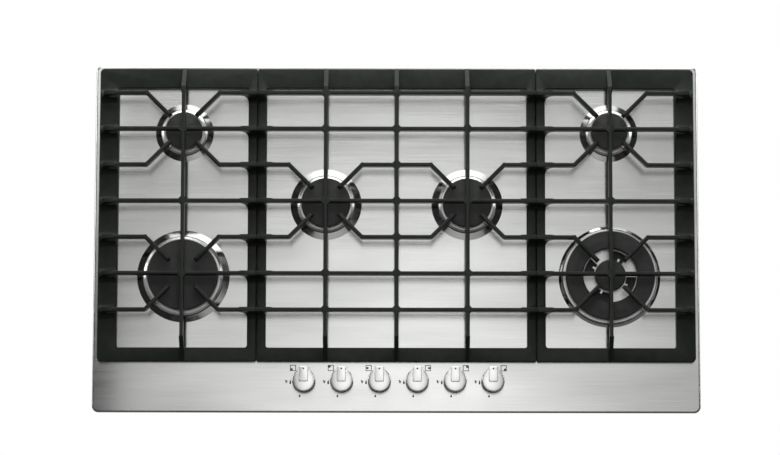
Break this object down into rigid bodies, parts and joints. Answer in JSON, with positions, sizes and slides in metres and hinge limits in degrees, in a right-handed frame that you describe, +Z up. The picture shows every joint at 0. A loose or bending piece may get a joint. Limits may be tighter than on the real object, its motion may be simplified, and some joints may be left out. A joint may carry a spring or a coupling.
{
  "type": "gas cooktop",
  "caption": "Built-in gas hob: steel top pan, lift-off cast pan supports, burners of four sizes and a row of push-and-turn control knobs along the front.",
  "frame": {"origin": "centre of the top pan, on the plane of the worktop that its rim rests on", "axes": "+X to the user's right along the hob, +Y to the rear, +Z up"},
  "size_m": [0.9, 0.52, 0.102],
  "materials": {
    "pan_steel": "brushed along the length",
    "casing_steel": "galvanised",
    "seal_foam": "matt",
    "plated_steel": "zinc plated",
    "polished_ring": "polished",
    "cast_aluminium": "satin",
    "tube_aluminium": "satin",
    "brass": "machined",
    "black_enamel": "matt vitreous enamel",
    "cast_iron_enamel": "matt vitreous enamel",
    "ceramic": "glazed",
    "copper": "drawn",
    "rubber": "matt",
    "silicone": "silicone sleeve",
    "black_plastic": "moulded",
    "white_plastic": "moulded",
    "knob_satin": "satin"
  },
  "bodies": {
    "hob_body": {"top_pan": "pan_steel", "bottom_casing": "casing_steel", "worktop_seal": "seal_foam", "clamp_brackets": "plated_steel", "fixing_screws": "plated_steel", "aux_burner_rings": "polished_ring", "semi_burner_rings": "polished_ring", "rapid_burner_ring": "polished_ring", "triple_burner_ring": "polished_ring", "burner_cups": "cast_aluminium", "gas_jets": "brass", "spark_electrodes": "ceramic", "thermocouples": "copper", "gas_rail": "plated_steel", "tap_bodies": "brass", "feed_tubes": "tube_aluminium", "gas_inlet_union": "brass", "spark_generator": "black_plastic", "mains_terminal_block": "white_plastic", "ignition_switches": "black_plastic", "ignition_leads": "silicone", "cable_gland": "black_plastic", "knob_seals": "rubber"},
    "tap_1": {"tap_plug_1": "brass"},
    "knob_1": {"knob_1": "knob_satin", "spindle_1": "plated_steel"},
    "tap_2": {"tap_plug_2": "brass"},
    "knob_2": {"knob_2": "knob_satin", "spindle_2": "plated_steel"},
    "tap_3": {"tap_plug_3": "brass"},
    "knob_3": {"knob_3": "knob_satin", "spindle_3": "plated_steel"},
    "tap_4": {"tap_plug_4": "brass"},
    "knob_4": {"knob_4": "knob_satin", "spindle_4": "plated_steel"},
    "tap_5": {"tap_plug_5": "brass"},
    "knob_5": {"knob_5": "knob_satin", "spindle_5": "plated_steel"},
    "tap_6": {"tap_plug_6": "brass"},
    "knob_6": {"knob_6": "knob_satin", "spindle_6": "plated_steel"},
    "support_left": {"pan_support_left": "cast_iron_enamel", "feet_left": "rubber"},
    "support_centre": {"pan_support_centre": "cast_iron_enamel", "feet_centre": "rubber"},
    "support_right": {"pan_support_right": "cast_iron_enamel", "feet_right": "rubber"},
    "crown_front_left": {"crown_front_left": "cast_aluminium"},
    "cap_front_left": {"cap_front_left": "black_enamel"},
    "crown_rear_left": {"crown_rear_left": "cast_aluminium"},
    "cap_rear_left": {"cap_rear_left": "black_enamel"},
    "crown_centre_left": {"crown_centre_left": "cast_aluminium"},
    "cap_centre_left": {"cap_centre_left": "black_enamel"},
    "crown_centre_right": {"crown_centre_right": "cast_aluminium"},
    "cap_centre_right": {"cap_centre_right": "black_enamel"},
    "crown_rear_right": {"crown_rear_right": "cast_aluminium"},
    "cap_rear_right": {"cap_rear_right": "black_enamel"},
    "crown_front_right": {"crown_front_right": "cast_aluminium"},
    "cap_front_right_outer": {"cap_front_right_outer": "black_enamel"},
    "cap_front_right_inner": {"cap_front_right_inner": "black_enamel"}
  },
  "joints": [
    {"name": "tap_1_turn", "type": "hinge", "parent": "hob_body", "child": "tap_1", "pos_m": [-0.137, -0.214, 0], "axis": [0, 0, 1], "range_deg": [0, 165]},
    {"name": "knob_1_press", "type": "slide", "parent": "tap_1", "child": "knob_1", "axis": [0, 0, -1], "range_m": [0, 0.0035], "stiffness_N_per_m": 2500, "springref_m": -0.002},
    {"name": "tap_2_turn", "type": "hinge", "parent": "hob_body", "child": "tap_2", "pos_m": [-0.081, -0.214, 0], "axis": [0, 0, 1], "range_deg": [0, 165]},
    {"name": "knob_2_press", "type": "slide", "parent": "tap_2", "child": "knob_2", "axis": [0, 0, -1], "range_m": [0, 0.0035], "stiffness_N_per_m": 2500, "springref_m": -0.002},
    {"name": "tap_3_turn", "type": "hinge", "parent": "hob_body", "child": "tap_3", "pos_m": [-0.025, -0.214, 0], "axis": [0, 0, 1], "range_deg": [0, 165]},
    {"name": "knob_3_press", "type": "slide", "parent": "tap_3", "child": "knob_3", "axis": [0, 0, -1], "range_m": [0, 0.0035], "stiffness_N_per_m": 2500, "springref_m": -0.002},
    {"name": "tap_4_turn", "type": "hinge", "parent": "hob_body", "child": "tap_4", "pos_m": [0.031, -0.214, 0], "axis": [0, 0, 1], "range_deg": [0, 165]},
    {"name": "knob_4_press", "type": "slide", "parent": "tap_4", "child": "knob_4", "axis": [0, 0, -1], "range_m": [0, 0.0035], "stiffness_N_per_m": 2500, "springref_m": -0.002},
    {"name": "tap_5_turn", "type": "hinge", "parent": "hob_body", "child": "tap_5", "pos_m": [0.087, -0.214, 0], "axis": [0, 0, 1], "range_deg": [0, 165]},
    {"name": "knob_5_press", "type": "slide", "parent": "tap_5", "child": "knob_5", "axis": [0, 0, -1], "range_m": [0, 0.0035], "stiffness_N_per_m": 2500, "springref_m": -0.002},
    {"name": "tap_6_turn", "type": "hinge", "parent": "hob_body", "child": "tap_6", "pos_m": [0.143, -0.214, 0], "axis": [0, 0, 1], "range_deg": [0, 165]},
    {"name": "knob_6_press", "type": "slide", "parent": "tap_6", "child": "knob_6", "axis": [0, 0, -1], "range_m": [0, 0.0035], "stiffness_N_per_m": 2500, "springref_m": -0.002},
    {"name": "support_left_lift", "type": "slide", "parent": "hob_body", "child": "support_left", "axis": [0, 0, 1], "range_m": [0, 0.08]},
    {"name": "support_centre_lift", "type": "slide", "parent": "hob_body", "child": "support_centre", "axis": [0, 0, 1], "range_m": [0, 0.08]},
    {"name": "support_right_lift", "type": "slide", "parent": "hob_body", "child": "support_right", "axis": [0, 0, 1], "range_m": [0, 0.08]},
    {"name": "crown_front_left_lift", "type": "slide", "parent": "hob_body", "child": "crown_front_left", "axis": [0, 0, 1], "range_m": [0, 0.007]},
    {"name": "cap_front_left_lift", "type": "slide", "parent": "crown_front_left", "child": "cap_front_left", "axis": [0, 0, 1], "range_m": [0, 0.0075]},
    {"name": "crown_rear_left_lift", "type": "slide", "parent": "hob_body", "child": "crown_rear_left", "axis": [0, 0, 1], "range_m": [0, 0.007]},
    {"name": "cap_rear_left_lift", "type": "slide", "parent": "crown_rear_left", "child": "cap_rear_left", "axis": [0, 0, 1], "range_m": [0, 0.0075]},
    {"name": "crown_centre_left_lift", "type": "slide", "parent": "hob_body", "child": "crown_centre_left", "axis": [0, 0, 1], "range_m": [0, 0.007]},
    {"name": "cap_centre_left_lift", "type": "slide", "parent": "crown_centre_left", "child": "cap_centre_left", "axis": [0, 0, 1], "range_m": [0, 0.0075]},
    {"name": "crown_centre_right_lift", "type": "slide", "parent": "hob_body", "child": "crown_centre_right", "axis": [0, 0, 1], "range_m": [0, 0.007]},
    {"name": "cap_centre_right_lift", "type": "slide", "parent": "crown_centre_right", "child": "cap_centre_right", "axis": [0, 0, 1], "range_m": [0, 0.0075]},
    {"name": "crown_rear_right_lift", "type": "slide", "parent": "hob_body", "child": "crown_rear_right", "axis": [0, 0, 1], "range_m": [0, 0.007]},
    {"name": "cap_rear_right_lift", "type": "slide", "parent": "crown_rear_right", "child": "cap_rear_right", "axis": [0, 0, 1], "range_m": [0, 0.0075]},
    {"name": "crown_front_right_lift", "type": "slide", "parent": "hob_body", "child": "crown_front_right", "axis": [0, 0, 1], "range_m": [0, 0.007]},
    {"name": "cap_front_right_outer_lift", "type": "slide", "parent": "crown_front_right", "child": "cap_front_right_outer", "axis": [0, 0, 1], "range_m": [0, 0.0075]},
    {"name": "cap_front_right_inner_lift", "type": "slide", "parent": "crown_front_right", "child": "cap_front_right_inner", "axis": [0, 0, 1], "range_m": [0, 0.0075]}
  ]
}
